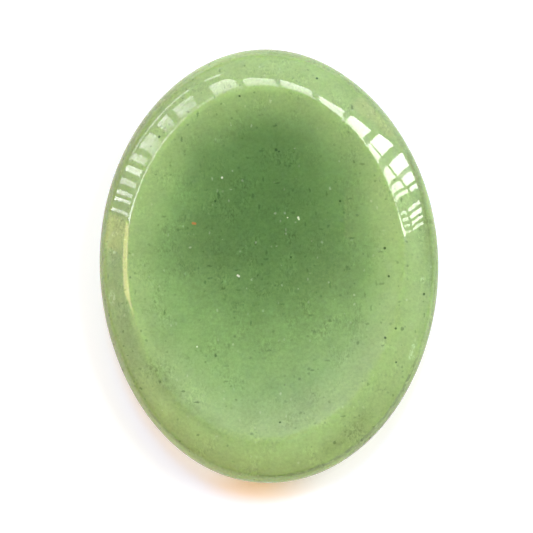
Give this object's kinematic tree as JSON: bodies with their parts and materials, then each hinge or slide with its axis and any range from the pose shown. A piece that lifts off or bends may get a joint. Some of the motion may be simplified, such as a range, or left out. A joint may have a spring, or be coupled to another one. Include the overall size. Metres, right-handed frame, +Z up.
{
  "type": "palm stone",
  "caption": "Oval polished green aventurine palm stone with a shallow thumb hollow in its domed top, a softened ridge round it that rises a little at the two ends and a rounded back with a small flat spot.",
  "frame": {"origin": "middle of the small flat spot on the underside, at the level of the surface that the stone rests on", "axes": "+Z up, out of the thumb hollow; +Y along the oval's long axis; +X along its short axis"},
  "size_m": [0.0351, 0.0451, 0.0075],
  "materials": {
    "aventurine": "high polish, translucent"
  },
  "bodies": {
    "root": {"palm_stone": "aventurine"}
  },
  "joints": []
}
